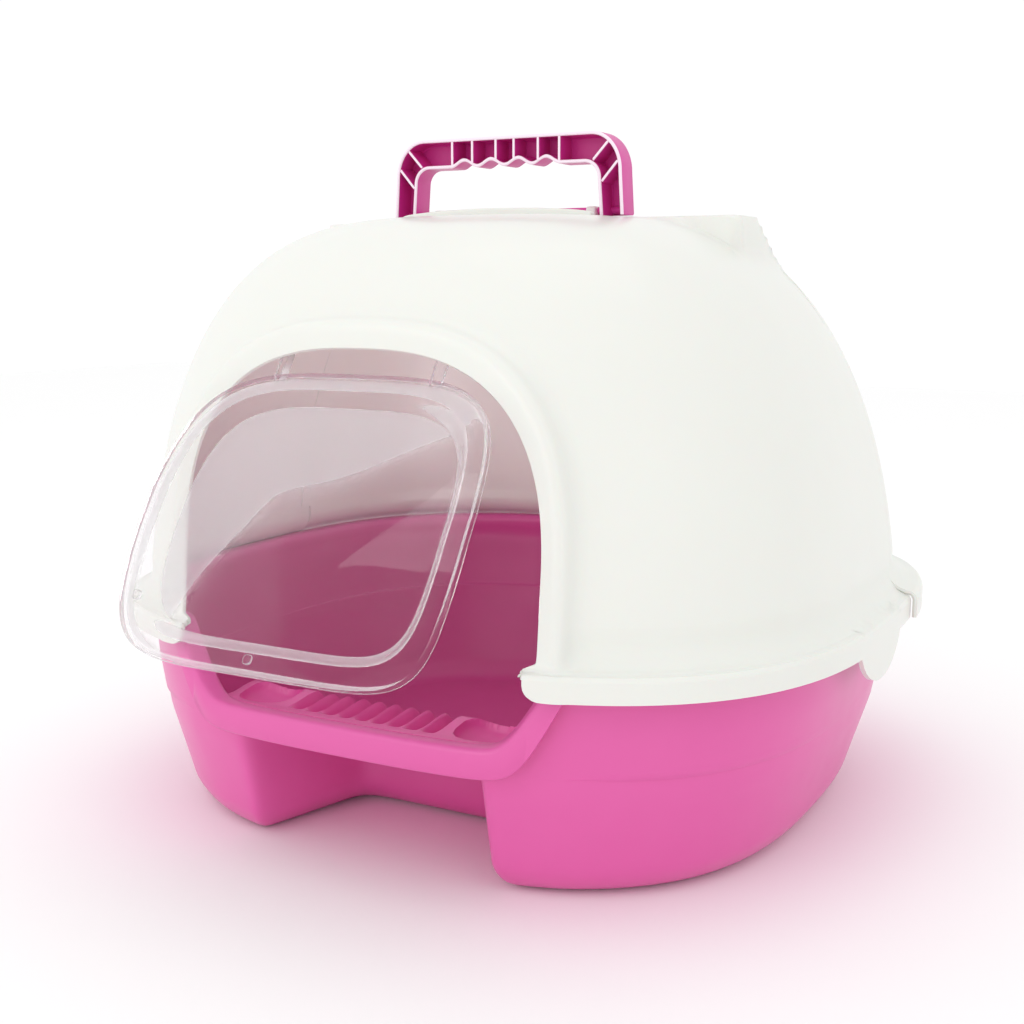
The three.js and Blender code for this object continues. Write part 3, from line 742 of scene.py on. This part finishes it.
def clear_plastic(name):
    """Clear polished plastic: mostly see-through, with fine handling haze that catches the light."""
    material = bpy.data.materials.new(name)
    material.use_nodes = True
    tree = material.node_tree
    shader = tree.nodes["Principled BSDF"]
    wire = Wire(tree)
    place = wire.node("ShaderNodeTexCoord", output="Object")
    haze = wire.node("ShaderNodeTexNoise", sockets={"Vector": place, "Scale": 24.0, "Detail": 5.0})
    ripple = wire.node("ShaderNodeTexNoise", sockets={"Vector": place, "Scale": 14.0, "Detail": 1.0})
    (0.03 + haze * 0.05).into(shader.inputs["Roughness"])
    sheen = 0.005 + haze * 0.02 + wire.node("ShaderNodeFresnel", sockets={"IOR": 1.42}) * 0.55
    window = wire.node("ShaderNodeBsdfTransparent", sockets={"Color": (0.985, 0.975, 0.98, 1)})
    gloss = Wire(tree, shader.outputs[0])
    surface = wire.node("ShaderNodeMixShader", sockets={0: sheen, 1: window, 2: gloss})
    surface.into(tree.nodes["Material Output"].inputs["Surface"])
    bumps = {"Height": ripple * 0.0008, "Strength": 0.4, "Distance": 1.0}
    wire.node("ShaderNodeBump", sockets=bumps).into(shader.inputs["Normal"])
    shader.inputs["Base Color"].default_value = (0.93, 0.93, 0.94, 1)
    shader.inputs["IOR"].default_value = 1.46
    shader.inputs["Transmission Weight"].default_value = 0.55
    return material


# ---------------------------------------------------------------- build

white = moulded_plastic("hood plastic", (0.82, 0.83, 0.785), (0.79, 0.80, 0.755), 0.33, scatter=0.1)
rear_white = moulded_plastic("rear hood plastic", (0.81, 0.82, 0.77), (0.78, 0.79, 0.745), 0.35,
                             scatter=0.1)
pink = moulded_plastic("pan plastic", (0.77, 0.118, 0.40), (0.73, 0.10, 0.37), 0.34)
# The step plate's pink is a lighter copy of the pan pink. This is painted light that offsets the shade the
# hood and flap cast on the plate.
plate_pink_lit = moulded_plastic("step plastic painted lighter", (0.82, 0.115, 0.41), (0.78, 0.10, 0.38), 0.30)
# The pale edges colour is a painted highlight on the handle channel's thin front edges.
magenta = moulded_plastic("handle plastic", (0.70, 0.035, 0.34), (0.64, 0.028, 0.30), 0.38,
                          coat=0.03, edges=(0.95, 0.80, 0.90))
clear = clear_plastic("flap plastic")

piece("hood_front_shell", hood_front(), white, "base", "hood_white", "hood_front", crease=50)
piece("hood_rear_shell", hood_rear(), rear_white, "base", "hood_rear_white", "hood_rear", crease=50)
piece("hood_rib_and_clips", hood_fittings(), white, "base", "hood_white")
piece("pan_shell", litter_pan(), pink, "base", "pan_pink", "litter_pan", crease=50)
piece("ribbed_step", step_plate(), plate_pink_lit, "base", "step_pink", "step_plate", crease=60)
piece("clear_flap", flap_door(), clear, "flap", "flap_clear", "flap_door", crease=50)
piece("handle_channel", carry_handle(), magenta, "handle", "handle_magenta", "carry_handle", crease=35)

# ---------------------------------------------------------------- floor, light and camera

FLOOR_HALF, FLOOR_Z = 4, -0.0005
floor_corners = [(x * FLOOR_HALF, y * FLOOR_HALF, FLOOR_Z) for x, y in ((-1, -1), (1, -1), (1, 1), (-1, 1))]
floor_mesh = bpy.data.meshes.new("floor")
floor_mesh.from_pydata(floor_corners, [], [(0, 1, 2, 3)])
floor = bpy.data.objects.new("floor", floor_mesh)
bpy.context.scene.collection.objects.link(floor)
floor_finish = bpy.data.materials.new("pale floor")
floor_finish.use_nodes = True
floor_shader = floor_finish.node_tree.nodes["Principled BSDF"]
floor_shader.inputs["Base Color"].default_value = (0.97, 0.97, 0.97, 1)
floor_shader.inputs["Roughness"].default_value = 0.8
floor_mesh.materials.append(floor_finish)

world = bpy.data.worlds.new("studio")
bpy.context.scene.world = world
world.use_nodes = True
sky = world.node_tree.nodes["Background"]
sky.inputs["Color"].default_value = (1, 1, 1, 1)
sky.inputs["Strength"].default_value = 1.02


def softbox(name, place, target, size, power):
    """A square area light that faces the target."""
    light = bpy.data.lights.new(name, "AREA")
    light.size, light.energy = size, power
    lamp = bpy.data.objects.new(name, light)
    lamp.location = place
    lamp.rotation_euler = (Vector(target) - Vector(place)).to_track_quat("-Z", "Y").to_euler()
    bpy.context.scene.collection.objects.link(lamp)


softbox("key softbox", (-0.9, -2.0, 1.5), (0, 0, 0.2), 1.2, 3.5)
softbox("entry softbox", (-0.3, -2.2, 0.6), (0, 0, 0.2), 0.8, 2.5)
softbox("top softbox", (0.1, 0.1, 2.2), (0, 0, 0.2), 1.5, 2.5)
softbox("glow inside the hood", (0, 0.06, 0.12), (0, 0.06, 0.4), 0.16, 0.36)

CAMERA_PLACE = (0.466, -0.862, 0.357)
CAMERA_SIDE, CAMERA_DOWN = 28.633, 9.415
LENS, SENSOR = 48.41, 36
camera_data = bpy.data.cameras.new("camera")
camera_data.lens, camera_data.sensor_width = LENS, SENSOR
camera = bpy.data.objects.new("camera", camera_data)
camera.location = CAMERA_PLACE
side, down = math.radians(CAMERA_SIDE), math.radians(CAMERA_DOWN)
ahead = Vector((-math.sin(side) * math.cos(down), math.cos(side) * math.cos(down), -math.sin(down)))
camera.rotation_euler = ahead.to_track_quat("-Z", "Y").to_euler()
bpy.context.scene.collection.objects.link(camera)
bpy.context.scene.camera = camera
bpy.context.scene.view_settings.view_transform = "Standard"
